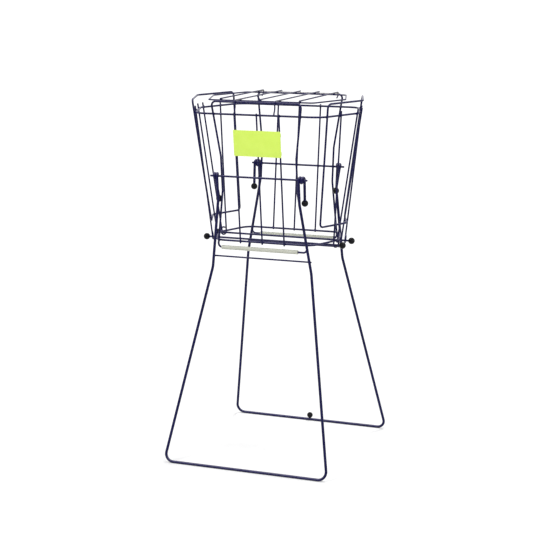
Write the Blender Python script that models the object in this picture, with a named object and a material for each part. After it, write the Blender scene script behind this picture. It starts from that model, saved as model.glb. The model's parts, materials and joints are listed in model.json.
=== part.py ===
# Wire ball hopper: an open wire basket with a snap-down lid, two roller sleeves
# and two loose floor rods underneath, and two hairpin frames that serve as legs,
# or as handles once they are swung up over the basket.
# Metres, +Z up. The front is -Y, the right is +X, the floor is z = 0, and the
# basket's middle stands over the origin.

import math

import bmesh
import bpy
from mathutils import Vector

# Clearances
GAP = 0.0003             # between pieces that touch or are welded
RUN = 0.0005             # running clearance of what turns or slides

# Wire diameters
RING_WIRE = 0.0048
LOOP_WIRE = 0.0048
PIVOT_WIRE = 0.0048
FLOOR_WIRE = 0.0048
UPRIGHT_WIRE = 0.0040
LEG_WIRE = 0.0066
CROSSBAR_WIRE = 0.0040
LID_FRAME_WIRE = 0.0036
LID_BAR_WIRE = 0.0034

# Basket: the rim ring and the base ring are hexagons with rounded corners
BASE_HEIGHT = 0.524      # floor to the base ring
BASKET_HEIGHT = 0.301    # base ring to the rim ring
RIM_FRONT = 0.310        # length of the front edge between sharp corners
RIM_WIDTH = 0.402        # across the two side points
RIM_DEPTH = 0.270
RIM_CORNER = 0.040       # bend radius at the four corners
BASE_FRONT = 0.242
BASE_WIDTH = 0.308
BASE_DEPTH = 0.202
BASE_CORNER = 0.034
SIDE_BEND = 0.020        # bend radius at the two side points

# Uprights
UPRIGHT_SPACING = 0.0550
UPRIGHT_STUB = 0.0045    # how far an upright runs past a ring
SIDE_STUB = 0.0110       # how far a side upright stands above the rim
SIDE_UPRIGHT_Y = 0.0725  # where a side upright leaves the rim
POINT_UPRIGHT_Y = 0.0130 # how far the uprights beside a side point are off the middle
EYE_BORE = 0.0140        # inside width of the eyes that carry the floor rods

# Hourglass loops on the front and the back
LOOP_RISE = 0.0295       # above the rim ring
LOOP_DROP = 0.0165       # below the base ring
LOOP_TOP = 0.222         # widths
LOOP_WAIST = 0.187
LOOP_BOTTOM = 0.225
WAIST_ABOVE = 0.047      # straight stretch above the pivot rod
WAIST_BELOW = 0.035      # and below it
LOOP_TOP_BEND = 0.010
LOOP_WAIST_BEND = 0.030
LOOP_BOTTOM_BEND = 0.009

# Folded loops on the two sides
SIDE_LOOP_Y_TOP = 0.1165 # half width at the rim
SIDE_LOOP_Y_LOW = 0.0860 # half width at the bottom bar
SIDE_LOOP_LOW = 0.042    # bottom bar above the base ring
SIDE_LOOP_PEAK = 0.0016  # extra reach of the bottom bar at its fold
SIDE_LOOP_BEND = 0.010

# Pivot rods and legs
PIVOT_RISE = 0.156       # pivot rod above the base ring
EYE_CLEARANCE = 0.0021   # between a leg and the loop beside it
ROD_OVERHANG = 0.0060    # rod end past the coiled eye
EXTRA_TURNS = 1          # full turns of the coiled eye beyond the plain wrap
LOCK_DROP = 0.056        # lock knob below the pivot rod
LOCK_INSET = 0.0208      # lock knob behind the pivot rod
CROSSBAR_CLEARANCE = 0.0188
CROSSBAR_OVERHANG = 0.0032
KNEE_DROP = 0.0267       # knee below the crossbar
KNEE_WIDTH = 0.2485
FOOT_WIDTH = 0.4110
FOOT_SPREAD = 0.4470     # front foot to rear foot
UPPER_BEND = 0.040
KNEE_BEND = 0.030
FOOT_BEND = 0.019

# Knobs
KNOB_DIAMETER = 0.0160
KNOB_BORE_DEPTH = 0.0090
GRIP_KNOB_DIAMETER = 0.0150
STUD_DIAMETER = 0.0046

# Rollers under the basket
FLOOR_ROD_SPACING = 0.066
FLOOR_ROD_PLAY = 0.0020904 # between an eye and the knob outside it
SLEEVE_DIAMETER = 0.0100
SLEEVE_LENGTH = 0.192

# Lid
LID_FRONT = 0.258
LID_WIDTH = 0.334
LID_DEPTH = 0.232
LID_BEND = 0.012
LID_BAR_SPACING = 0.0487
LID_BAR_STUB = 0.0055    # bar end past the frame
REAR_OVERHANG = 0.0045   # bar end past the rear loop
HINGE_TAIL = 0.010       # straight end of a hinge hook
HINGE_WRAP = 150         # degrees that a hinge hook wraps round the loop
LATCH_REACH = 0.0064     # hook in front of the loop's middle
LATCH_PINCH = 0.0047     # closest stretch under the loop
LATCH_PINCH_DROP = 0.012
LATCH_FLARE = 0.0125
LATCH_DROP = 0.0275
LATCH_BEND = 0.0050
TAB_REACH = 0.0160
TAB_RISE = 0.0115
TAB_BEND = 0.0060

# Sign plate
SIGN_HEIGHT = 0.061
SIGN_THICKNESS = 0.0015
SIGN_CORNER = 0.0020
SIGN_DROP = 0.0650       # plate's middle below the rim
CLIP_HEIGHT = 0.0080
CLIP_WIDTH = 0.0060
CLIP_INSET = 0.0090      # clip's middle from the plate's upper or lower edge
CLIP_LIP = 0.0008        # clip past the middle of the wire
CLIP_BORDER = 0.0004     # plate's side edge past the outer clips

# Facets
BEND_STEPS = 4
COIL_STEPS = 14          # points in a full turn
KNOB_STEPS = 16
KNOB_RINGS = 8
MAIN_RESOLUTION = 2
THIN_RESOLUTION = 2

# Colours as linear RGB, roughness, metallic
FINISHES = {
    "enamel": ((0.0055, 0.0060, 0.0270), 0.22, 0.0),
    "knob_plastic": ((0.0060, 0.0060, 0.0075), 0.25, 0.0),
    "sleeve_plastic": ((0.570, 0.584, 0.535), 0.45, 0.0),
    "sign_plastic": ((0.730, 0.960, 0.150), 0.35, 0.0),
}

# Heights and places that follow from the sizes above
RIM_Z = BASE_HEIGHT + BASKET_HEIGHT
BASE_Z = BASE_HEIGHT
LOOP_TOP_Z = RIM_Z + LOOP_RISE
LOOP_LOW_Z = BASE_Z - LOOP_DROP
PIVOT_Z = BASE_Z + PIVOT_RISE
WALL_SLOPE = (RIM_DEPTH - BASE_DEPTH) / 2 / BASKET_HEIGHT
WALL_ANGLE = math.atan(WALL_SLOPE)

LOOP_OFFSET = (RING_WIRE / 2 + GAP + LOOP_WIRE / 2) / math.cos(WALL_ANGLE)
UPRIGHT_OFFSET = (RING_WIRE / 2 + GAP + UPRIGHT_WIRE / 2) / math.cos(WALL_ANGLE)
STACK = max(LOOP_WIRE, UPRIGHT_WIRE)
PIVOT_OFFSET = (RING_WIRE / 2 + GAP + STACK + GAP + PIVOT_WIRE / 2) / math.cos(WALL_ANGLE)
EYE_RADIUS = PIVOT_WIRE / 2 + GAP + LEG_WIRE / 2


def share(z):
    """Share of the way from the base ring up to the rim ring."""
    return (z - BASE_Z) / BASKET_HEIGHT


def between(low, high, z):
    return low + (high - low) * share(z)


def wall_y(z):
    """Half depth of the basket at a height, to the middle of the ring wire."""
    return between(BASE_DEPTH / 2, RIM_DEPTH / 2, z)


def front_point(x, z, offset):
    """A point outside the front wall."""
    return Vector((x, -wall_y(z) - offset, z))


def side_slope(z):
    """How fast a side face draws in from the side point to the corner."""
    drop = between(BASE_WIDTH - BASE_FRONT, RIM_WIDTH - RIM_FRONT, z) / 2
    return drop / wall_y(z)


def side_x(y, z):
    """Half width of the basket at a depth and a height, with sharp corners."""
    return between(BASE_WIDTH, RIM_WIDTH, z) / 2 - side_slope(z) * abs(y)


def side_point(y, z, offset, rounded_corner=False):
    """A point outside the right-hand side face; the corner bend can be followed."""
    slope = side_slope(z)
    normal = Vector((1.0, math.copysign(slope, y) if y else 0.0, 0.0)).normalized()
    x = side_x(y, z)
    if rounded_corner:
        radius = between(BASE_CORNER, RIM_CORNER, z)
        turn = math.pi / 2 - math.atan(slope)
        reach = radius * math.tan(turn / 2)
        start = wall_y(z) - reach * math.cos(math.atan(slope))
        if abs(y) > start:
            centre_y = wall_y(z) - radius
            centre_x = side_x(start, z) - radius * math.cos(math.atan(slope))
            rise = min((abs(y) - centre_y) / radius, 1.0)
            run = math.sqrt(1.0 - rise * rise)
            normal = Vector((run, math.copysign(rise, y), 0.0))
            x = centre_x + radius * run
    return Vector((x, y, z)) + normal * offset


def bend(before, corner, after, radius):
    """Points of an arc that rounds one corner of a wire."""
    into = (before - corner).normalized()
    out = (after - corner).normalized()
    half = into.angle(out) / 2
    reach = radius / math.tan(half)
    reach = min(reach, (before - corner).length * 0.49, (after - corner).length * 0.49)
    radius = reach * math.tan(half)
    centre = corner + (into + out).normalized() * (radius / math.sin(half))
    start = corner + into * reach - centre
    end = corner + out * reach - centre
    sweep = start.angle(end)
    axis = start.cross(end).normalized()
    side = axis.cross(start)
    points = []
    for step in range(BEND_STEPS + 1):
        angle = sweep * step / BEND_STEPS
        points.append(centre + start * math.cos(angle) + side * math.sin(angle))
    return points


def bent_wire(corners, radii, closed=False):
    """A wire's middle line: straight runs with an arc at each corner."""
    count = len(corners)
    points = []
    for index, corner in enumerate(corners):
        inner = closed or 0 < index < count - 1
        if inner and radii[index] > 0:
            before = corners[index - 1]
            after = corners[(index + 1) % count]
            points.extend(bend(before, corner, after, radii[index]))
        else:
            points.append(corner)
    return points


def mirrored(points):
    """The right half of a wire, run backwards on the left, and the right half itself."""
    left = [Vector((-point.x, point.y, point.z)) for point in reversed(points)]
    return left + list(points)


def to_rear(points):
    return [Vector((point.x, -point.y, point.z)) for point in points]


def to_left(points):
    return [Vector((-point.x, point.y, point.z)) for point in points]


def clear_scene():
    for item in list(bpy.data.objects):
        bpy.data.objects.remove(item, do_unlink=True)


def make_material(name, finish):
    colour, roughness, metallic = FINISHES[finish]
    material = bpy.data.materials.new(name + "_" + finish)
    material.use_nodes = True
    shader = material.node_tree.nodes["Principled BSDF"]
    shader.inputs["Base Color"].default_value = (*colour, 1.0)
    shader.inputs["Roughness"].default_value = roughness
    shader.inputs["Metallic"].default_value = metallic
    material.diffuse_color = (*colour, 1.0)
    return material


def make_pivot(name, place):
    """An empty on a joint's axis, which carries the pieces that turn about it."""
    pivot = bpy.data.objects.new(name, None)
    pivot.empty_display_size = 0.02
    pivot.location = place
    bpy.context.collection.objects.link(pivot)
    return pivot


def place(item, pivot, finish):
    bpy.context.collection.objects.link(item)
    item.parent = pivot
    item.data.materials.append(make_material(item.name, finish))
    return item


def make_wire(name, paths, diameter, pivot, closed=False, resolution=MAIN_RESOLUTION):
    """One node of painted round wire; each path is a wire of its own."""
    curve = bpy.data.curves.new(name, "CURVE")
    curve.dimensions = "3D"
    curve.twist_mode = "MINIMUM"
    curve.bevel_depth = diameter / 2
    curve.bevel_resolution = resolution
    curve.use_fill_caps = True
    for points in paths:
        spline = curve.splines.new("POLY")
        spline.points.add(len(points) - 1)
        spline.use_cyclic_u = closed
        spline.use_smooth = True
        for target, point in zip(spline.points, points):
            target.co = (*(point - pivot.location), 1.0)
    return place(bpy.data.objects.new(name, curve), pivot, "enamel")


def revolve(name, profile, start, direction, pivot, finish, ring=False, steps=KNOB_STEPS):
    """A turned solid; the profile gives (along the axis, out from the axis)."""
    direction = direction.normalized()
    helper = Vector((0, 0, 1)) if abs(direction.z) < 0.9 else Vector((1, 0, 0))
    across = direction.cross(helper).normalized()
    upward = direction.cross(across)
    mesh_data = bmesh.new()
    rings = []
    for along, out in profile:
        middle = start + direction * along - pivot.location
        if out == 0.0:
            rings.append([mesh_data.verts.new(middle)])
            continue
        circle = []
        for step in range(steps):
            angle = 2 * math.pi * step / steps
            spoke = across * math.cos(angle) + upward * math.sin(angle)
            circle.append(mesh_data.verts.new(middle + spoke * out))
        rings.append(circle)
    pairs = list(zip(rings, rings[1:]))
    if ring:
        pairs.append((rings[-1], rings[0]))
    for first, second in pairs:
        for step in range(steps):
            after = (step + 1) % steps
            corners = []
            for vertex in (first[step % len(first)], first[after % len(first)],
                           second[after % len(second)], second[step % len(second)]):
                if vertex not in corners:
                    corners.append(vertex)
            mesh_data.faces.new(corners)
    bmesh.ops.recalc_face_normals(mesh_data, faces=mesh_data.faces)
    mesh = bpy.data.meshes.new(name)
    mesh_data.to_mesh(mesh)
    mesh_data.free()
    mesh.shade_smooth()
    mesh.set_sharp_from_angle(angle=math.radians(40))
    return place(bpy.data.objects.new(name, mesh), pivot, finish)


def make_knob(name, centre, toward_wire, diameter, bore, pivot):
    """A moulded ball with a blind hole that a wire end is pushed into."""
    radius = diameter / 2
    hole = bore / 2 + GAP
    mouth = math.sqrt(radius * radius - hole * hole)
    first = math.asin(hole / radius)
    profile = [(radius - KNOB_BORE_DEPTH, 0.0), (radius - KNOB_BORE_DEPTH, hole), (mouth, hole)]
    for step in range(1, KNOB_RINGS):
        angle = first + (math.pi - first) * step / KNOB_RINGS
        profile.append((radius * math.cos(angle), radius * math.sin(angle)))
    profile.append((-radius, 0.0))
    return revolve(name, profile, centre, toward_wire, pivot, "knob_plastic")


def knob_seat(centre, toward_wire, diameter):
    """Where the wire's end lies inside a knob."""
    return centre + toward_wire.normalized() * (diameter / 2 - KNOB_BORE_DEPTH + GAP)


def ring_corners(width_front, width_side, depth, z):
    front = width_front / 2
    side = width_side / 2
    half = depth / 2
    return [Vector((-front, -half, z)), Vector((front, -half, z)), Vector((side, 0, z)),
            Vector((front, half, z)), Vector((-front, half, z)), Vector((-side, 0, z))]


def make_rings(basket):
    rim = ring_corners(RIM_FRONT, RIM_WIDTH, RIM_DEPTH, RIM_Z)
    base = ring_corners(BASE_FRONT, BASE_WIDTH, BASE_DEPTH, BASE_Z)
    for name, corners, corner in (("rim_ring", rim, RIM_CORNER), ("base_ring", base, BASE_CORNER)):
        radii = [corner, corner, SIDE_BEND, corner, corner, SIDE_BEND]
        make_wire(name, [bent_wire(corners, radii, closed=True)], RING_WIRE, basket, closed=True)


def hourglass():
    """The closed loop that braces the front wall and narrows at the pivot rod."""
    half = [(LOOP_BOTTOM / 2, LOOP_LOW_Z, LOOP_BOTTOM_BEND),
            (LOOP_WAIST / 2, PIVOT_Z - WAIST_BELOW, LOOP_WAIST_BEND),
            (LOOP_WAIST / 2, PIVOT_Z + WAIST_ABOVE, LOOP_WAIST_BEND),
            (LOOP_TOP / 2, LOOP_TOP_Z, LOOP_TOP_BEND)]
    corners = [front_point(x, z, LOOP_OFFSET) for x, z, radius in half]
    corners += [front_point(-x, z, LOOP_OFFSET) for x, z, radius in reversed(half)]
    radii = [radius for x, z, radius in half]
    radii += [radius for x, z, radius in reversed(half)]
    return bent_wire(corners, radii, closed=True)


def side_loop_bar():
    """Front end and fold of the bottom bar of the right side loop."""
    outer = RING_WIRE / 2 + GAP + UPRIGHT_WIRE + GAP + LOOP_WIRE / 2
    inner = RING_WIRE / 2 + GAP + LOOP_WIRE / 2
    low_z = BASE_Z + SIDE_LOOP_LOW
    reach = side_x(0.0, low_z) + outer / math.cos(math.atan(side_slope(low_z)))
    return side_point(-SIDE_LOOP_Y_LOW, low_z, inner), Vector((reach + SIDE_LOOP_PEAK, 0, low_z))


def folded_loop():
    """The closed loop on the right side, folded along the side points."""
    inner = RING_WIRE / 2 + GAP + LOOP_WIRE / 2
    low, low_point = side_loop_bar()
    at_rim = side_point(-SIDE_LOOP_Y_TOP, RIM_Z, inner, rounded_corner=True)
    top = low + (at_rim - low) * ((LOOP_TOP_Z - low.z) / (RIM_Z - low.z))
    top_point = Vector((top.x - side_slope(LOOP_TOP_Z) * top.y, 0, LOOP_TOP_Z))
    corners = [low, top, top_point, *to_rear([top, low]), low_point]
    radii = [SIDE_LOOP_BEND, SIDE_LOOP_BEND, SIDE_BEND, SIDE_LOOP_BEND, SIDE_LOOP_BEND, SIDE_BEND]
    return bent_wire(corners, radii, closed=True)


def make_loops(basket):
    front = hourglass()
    right = folded_loop()
    make_wire("front_loop", [front], LOOP_WIRE, basket, closed=True)
    make_wire("rear_loop", [to_rear(front)], LOOP_WIRE, basket, closed=True)
    make_wire("right_loop", [right], LOOP_WIRE, basket, closed=True)
    make_wire("left_loop", [to_left(right)], LOOP_WIRE, basket, closed=True)


def straight_upright(x):
    top = front_point(x, RIM_Z + UPRIGHT_STUB, UPRIGHT_OFFSET)
    low = front_point(x, BASE_Z - UPRIGHT_STUB, UPRIGHT_OFFSET)
    return [low, top]


def floor_rod_z():
    """The floor rods run under the base ring."""
    return BASE_Z - RING_WIRE / 2 - 4 * RUN - FLOOR_WIRE / 2


def eyed_upright():
    """A side upright that lies on the rim and on the side loop's bottom bar, and is curled
    below into an eye for a floor rod; the wire's end stops just short of the stem."""
    radius = (EYE_BORE + UPRIGHT_WIRE) / 2
    top = side_point(-SIDE_UPRIGHT_Y, RIM_Z + SIDE_STUB, RING_WIRE / 2 + GAP + UPRIGHT_WIRE / 2)
    bar_end, bar_fold = side_loop_bar()
    along = (bar_fold - bar_end).normalized()
    outward = Vector((along.y, -along.x, 0.0))
    seat = bar_end + outward * (LOOP_WIRE / 2 + GAP + UPRIGHT_WIRE / 2)
    upward = (top - seat - along * along.dot(top - seat)).normalized()
    rest_z = floor_rod_z() - (FLOOR_WIRE + UPRIGHT_WIRE) / 2 - RUN
    fall = (rest_z - seat.z) / upward.z
    shift = (-FLOOR_ROD_SPACING / 2 - seat.y - fall * upward.y) / along.y
    centre = seat + along * shift + upward * (fall + radius)
    reach = top - centre
    start = math.atan2(reach.dot(upward), reach.dot(along)) + math.acos(radius / reach.length)
    short = math.acos((radius - UPRIGHT_WIRE / 2 - GAP) / (radius + UPRIGHT_WIRE / 2))
    wrap = 2 * math.pi - short
    steps = math.ceil(COIL_STEPS * wrap / (2 * math.pi))
    points = [top]
    for step in range(steps + 1):
        angle = start + wrap * step / steps
        points.append(centre + (along * math.cos(angle) + upward * math.sin(angle)) * radius)
    return points


def point_upright():
    """The upright on the front side of the side point."""
    offset = RING_WIRE / 2 + GAP + UPRIGHT_WIRE / 2
    top = side_point(-POINT_UPRIGHT_Y, RIM_Z + SIDE_STUB, offset)
    low = side_point(-POINT_UPRIGHT_Y, BASE_Z - UPRIGHT_STUB, offset)
    return [low, top]


def make_uprights(basket):
    for name, x in (("left", -UPRIGHT_SPACING), ("middle", 0.0), ("right", UPRIGHT_SPACING)):
        wire = straight_upright(x)
        make_wire("front_upright_" + name, [wire], UPRIGHT_WIRE, basket, resolution=THIN_RESOLUTION)
        make_wire("rear_upright_" + name, [to_rear(wire)], UPRIGHT_WIRE, basket,
                  resolution=THIN_RESOLUTION)
    eyed = eyed_upright()
    point = point_upright()
    for name, wire in (("upright_front", eyed), ("upright_rear", to_rear(eyed)),
                       ("point_upright_front", point), ("point_upright_rear", to_rear(point))):
        make_wire("right_" + name, [wire], UPRIGHT_WIRE, basket, resolution=THIN_RESOLUTION)
        make_wire("left_" + name, [to_left(wire)], UPRIGHT_WIRE, basket,
                  resolution=THIN_RESOLUTION)


def pivot_place():
    return front_point(0.0, PIVOT_Z, PIVOT_OFFSET)


def leg_top_x():
    """Half width between the legs at the pivot rod, beside the loop's waist."""
    return LOOP_WAIST / 2 + LOOP_WIRE / 2 + EYE_CLEARANCE + LEG_WIRE / 2


def loop_x(z):
    """Half width of the hourglass loop below its waist."""
    start = PIVOT_Z - WAIST_BELOW
    if z >= start:
        return LOOP_WAIST / 2
    return LOOP_WAIST / 2 + (LOOP_BOTTOM - LOOP_WAIST) / 2 * (start - z) / (start - LOOP_LOW_Z)


def lock_knob_centre():
    """The lock knob sits just outside the loop's wire, which it snaps past."""
    z = PIVOT_Z - LOCK_DROP
    x = loop_x(z) + LOOP_WIRE / 2 + GAP + KNOB_DIAMETER / 2
    return Vector((x, pivot_place().y + LOCK_INSET, z))


def leg_line(z, x):
    """A point on the upper leg, which runs parallel to the wall past the pivot rod."""
    outward = EYE_RADIUS / math.cos(WALL_ANGLE)
    return Vector((x, pivot_place().y - outward + WALL_SLOPE * (PIVOT_Z - z), z))


def crossbar_z():
    """The crossbar clears the loop both as a leg and as a handle."""
    reach = max(LOOP_TOP_Z - PIVOT_Z, PIVOT_Z - LOOP_LOW_Z)
    return PIVOT_Z - reach - CROSSBAR_CLEARANCE


def leg_x(z):
    """Half width of the legs between the lock knobs and the knees."""
    top_z = PIVOT_Z - LOCK_DROP
    knee_z = crossbar_z() - KNEE_DROP
    return leg_top_x() + (KNEE_WIDTH / 2 - leg_top_x()) * (top_z - z) / (top_z - knee_z)


def coiled_eye():
    """The leg wire's turns round the pivot rod, from the leg to the lock tail."""
    pivot = pivot_place()
    knob = lock_knob_centre()
    reach = Vector((knob.y - pivot.y, knob.z - pivot.z))
    start = math.pi + WALL_ANGLE
    leave = math.atan2(reach.y, reach.x) + math.acos(EYE_RADIUS / reach.length)
    sweep = start - leave + 2 * math.pi * EXTRA_TURNS
    pitch = LEG_WIRE + GAP
    steps = math.ceil(COIL_STEPS * sweep / (2 * math.pi))
    points = []
    for step in range(steps + 1):
        angle = start - sweep * step / steps
        x = leg_top_x() + pitch * (sweep * step / steps) / (2 * math.pi)
        points.append(Vector((x, pivot.y + EYE_RADIUS * math.cos(angle),
                              pivot.z + EYE_RADIUS * math.sin(angle))))
    return points


def leg_half():
    """The right half of a leg frame: foot, knee, upper leg, coiled eye, lock tail."""
    coil = coiled_eye()
    knob = lock_knob_centre()
    bend_z = PIVOT_Z - LOCK_DROP
    knee_z = crossbar_z() - KNEE_DROP
    corners = [Vector((0.0, -FOOT_SPREAD / 2, LEG_WIRE / 2)),
               Vector((FOOT_WIDTH / 2, -FOOT_SPREAD / 2, LEG_WIRE / 2)),
               leg_line(knee_z, KNEE_WIDTH / 2),
               leg_line(bend_z, leg_top_x()),
               coil[0]]
    radii = [0.0, FOOT_BEND, KNEE_BEND, UPPER_BEND, 0.0]
    points = bent_wire(corners, radii)
    tail = knob_seat(knob, coil[-1] - knob, KNOB_DIAMETER)
    return points[1:] + coil[1:] + [tail]


def rod_half():
    """Half length of a pivot rod, past the outermost turn of the eye."""
    return coiled_eye()[-1].x + LEG_WIRE / 2 + ROD_OVERHANG


def make_leg(name, flip, basket, leg):
    rod = flip([Vector((-rod_half(), pivot_place().y, PIVOT_Z)),
                Vector((rod_half(), pivot_place().y, PIVOT_Z))])
    make_wire(name + "_pivot_rod", [rod], PIVOT_WIRE, basket)
    half = leg_half()
    make_wire(name + "_leg_frame", [flip(mirrored(half))], LEG_WIRE, leg)
    z = crossbar_z()
    end = leg_line(z, leg_x(z) + CROSSBAR_OVERHANG)
    end.y += (LEG_WIRE / 2 + GAP + CROSSBAR_WIRE / 2) / math.cos(WALL_ANGLE)
    make_wire(name + "_leg_crossbar", [flip(mirrored([end]))], CROSSBAR_WIRE, leg,
              resolution=THIN_RESOLUTION)
    knob = lock_knob_centre()
    toward = coiled_eye()[-1] - knob
    for side, turn in (("right", lambda points: points), ("left", to_left)):
        centre, direction = flip(turn([knob, toward]))
        make_knob(name + "_lock_knob_" + side, centre, direction, KNOB_DIAMETER, LEG_WIRE, leg)


def make_grip(leg):
    """The ball on the rear foot bar that parts the two grips when they are handles."""
    foot = Vector((0.0, FOOT_SPREAD / 2, LEG_WIRE))
    up = Vector((0, 0, 1))
    centre = foot + up * (GAP + GRIP_KNOB_DIAMETER / 2)
    make_knob("grip_knob", centre, -up, GRIP_KNOB_DIAMETER, STUD_DIAMETER, leg)
    length = KNOB_BORE_DEPTH - 2 * GAP
    radius = STUD_DIAMETER / 2
    profile = [(0.0, 0.0), (0.0, radius), (length, radius), (length, 0.0)]
    revolve("grip_stud", profile, foot + up * GAP, up, leg, "enamel")


def floor_knob_x():
    """Where a floor rod's knob stands, outside the eye that the rod lies in."""
    eye = max(point.x for point in eyed_upright()[1:])
    return eye + UPRIGHT_WIRE / 2 + FLOOR_ROD_PLAY + KNOB_DIAMETER / 2


def make_floor_rod(name, y, rod):
    z = floor_rod_z()
    for side, sign in (("left", -1), ("right", 1)):
        centre = Vector((sign * floor_knob_x(), y, z))
        make_knob(name + "_knob_" + side, centre, Vector((-sign, 0, 0)), KNOB_DIAMETER,
                  FLOOR_WIRE, rod)
    end = knob_seat(Vector((floor_knob_x(), y, z)), Vector((-1, 0, 0)), KNOB_DIAMETER)
    make_wire(name, [mirrored([end])], FLOOR_WIRE, rod)


def make_sleeve(name, sign, bar):
    """A plastic tube that rolls on the bottom bar of a loop, pushed to one end of it."""
    inner = LOOP_WIRE / 2 + RUN
    outer = SLEEVE_DIAMETER / 2
    straight = LOOP_BOTTOM / 2 - LOOP_BOTTOM_BEND
    low = -straight + RUN
    high = low + SLEEVE_LENGTH
    profile = [(low, inner), (low, outer), (high, outer), (high, inner)]
    start = Vector((0.0, bar.location.y, bar.location.z))
    revolve(name, profile, start, Vector((sign, 0, 0)), bar, "sleeve_plastic", ring=True)


def lid_bar_z():
    return LOOP_TOP_Z + LOOP_WIRE / 2 + RUN + LID_BAR_WIRE / 2


def loop_bar_y():
    """Depth of the loops' top bars, which the lid lies on."""
    return wall_y(LOOP_TOP_Z) + LOOP_OFFSET


def hinge_bar(x):
    """A lid bar whose rear end hooks round the rear loop's top bar."""
    z = lid_bar_z()
    y = loop_bar_y()
    radius = z - LOOP_TOP_Z
    wrap = math.radians(HINGE_WRAP)
    steps = math.ceil(COIL_STEPS * wrap / (2 * math.pi))
    points = [Vector((x, -LID_DEPTH / 2 - LID_BAR_STUB, z))]
    for step in range(steps + 1):
        angle = wrap * step / steps
        points.append(Vector((x, y + radius * math.sin(angle),
                              LOOP_TOP_Z + radius * math.cos(angle))))
    along = Vector((0.0, math.cos(wrap), -math.sin(wrap)))
    points.append(points[-1] + along * HINGE_TAIL)
    return points


def latch_bar(x):
    """A lid bar whose front end hooks over the front loop and ends in a flared tail."""
    z = lid_bar_z()
    y = loop_bar_y()
    corners = [Vector((x, y + REAR_OVERHANG, z)),
               Vector((x, -y - LATCH_REACH, z)),
               Vector((x, -y - LATCH_PINCH, LOOP_TOP_Z - LATCH_PINCH_DROP)),
               Vector((x, -y - LATCH_FLARE, LOOP_TOP_Z - LATCH_DROP))]
    return bent_wire(corners, [0.0, LATCH_BEND, LATCH_PINCH_DROP, 0.0])


def tab_bar():
    """The middle lid bar, turned up at the front as a finger tab."""
    z = lid_bar_z()
    front = -LID_DEPTH / 2 - LID_BAR_STUB / 2
    corners = [Vector((0.0, loop_bar_y() + REAR_OVERHANG, z)),
               Vector((0.0, front, z)),
               Vector((0.0, front - TAB_REACH, z + TAB_RISE))]
    return bent_wire(corners, [0.0, TAB_BEND, 0.0])


def make_lid(lid):
    z = lid_bar_z() - LID_BAR_WIRE / 2 - GAP - LID_FRAME_WIRE / 2
    frame = bent_wire(ring_corners(LID_FRONT, LID_WIDTH, LID_DEPTH, z), [LID_BEND] * 6, closed=True)
    make_wire("lid_frame", [frame], LID_FRAME_WIRE, lid, closed=True, resolution=THIN_RESOLUTION)
    outer = 2 * LID_BAR_SPACING
    inner = LID_BAR_SPACING
    for name, wire in (("lid_hinge_bar_left", hinge_bar(-outer)),
                       ("lid_latch_bar_left", latch_bar(-inner)),
                       ("lid_tab_bar", tab_bar()),
                       ("lid_latch_bar_right", latch_bar(inner)),
                       ("lid_hinge_bar_right", hinge_bar(outer))):
        make_wire(name, [wire], LID_BAR_WIRE, lid, resolution=THIN_RESOLUTION)


def add_box(mesh_data, centre, size):
    made = bmesh.ops.create_cube(mesh_data, size=1.0)
    bmesh.ops.scale(mesh_data, vec=size, verts=made["verts"])
    bmesh.ops.translate(mesh_data, vec=centre, verts=made["verts"])


def mesh_object(name, mesh_data):
    mesh = bpy.data.meshes.new(name)
    mesh_data.to_mesh(mesh)
    mesh_data.free()
    return bpy.data.objects.new(name, mesh)


def add_cutter(item, name, mesh_data, operation, basket):
    cutter = mesh_object(name, mesh_data)
    bpy.context.collection.objects.link(cutter)
    cutter.parent = basket
    cutter.location = item.location
    cutter.rotation_euler = item.rotation_euler
    cutter.hide_render = True
    cutter.display_type = "WIRE"
    modifier = item.modifiers.new(name, "BOOLEAN")
    modifier.operation = operation
    modifier.object = cutter


def make_sign(basket):
    """A blank plate on the front uprights, with clips behind that snap on to the wires."""
    groove = UPRIGHT_WIRE / 2 + GAP
    back = groove + GAP
    width = 2 * UPRIGHT_SPACING + CLIP_WIDTH + 2 * CLIP_BORDER
    plate = bmesh.new()
    add_box(plate, Vector((0, -back - SIGN_THICKNESS / 2, 0)),
            Vector((width, SIGN_THICKNESS, SIGN_HEIGHT)))
    corners = [edge for edge in plate.edges
               if abs(edge.verts[0].co.y - edge.verts[1].co.y) > SIGN_THICKNESS / 2]
    bmesh.ops.bevel(plate, geom=corners, offset=SIGN_CORNER, segments=3, affect="EDGES", profile=0.5)
    sign = mesh_object("sign_plate", plate)
    place(sign, basket, "sign_plastic")
    sign.location = front_point(0.0, RIM_Z - SIGN_DROP, UPRIGHT_OFFSET)
    sign.rotation_euler.x = WALL_ANGLE
    clips = bmesh.new()
    grooves = bmesh.new()
    depth = back + SIGN_THICKNESS / 2 + CLIP_LIP
    middle = CLIP_LIP - depth / 2
    for column in (-1, 0, 1):
        x = column * UPRIGHT_SPACING
        for row in (-1, 1):
            z = row * (SIGN_HEIGHT / 2 - CLIP_INSET)
            add_box(clips, Vector((x, middle, z)), Vector((CLIP_WIDTH, depth, CLIP_HEIGHT)))
        made = bmesh.ops.create_cone(grooves, cap_ends=True, segments=16, radius1=groove,
                                     radius2=groove, depth=SIGN_HEIGHT)
        bmesh.ops.translate(grooves, vec=Vector((x, 0, 0)), verts=made["verts"])
    add_cutter(sign, "sign_clips", clips, "UNION", basket)
    add_cutter(sign, "sign_grooves", grooves, "DIFFERENCE", basket)


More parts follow.
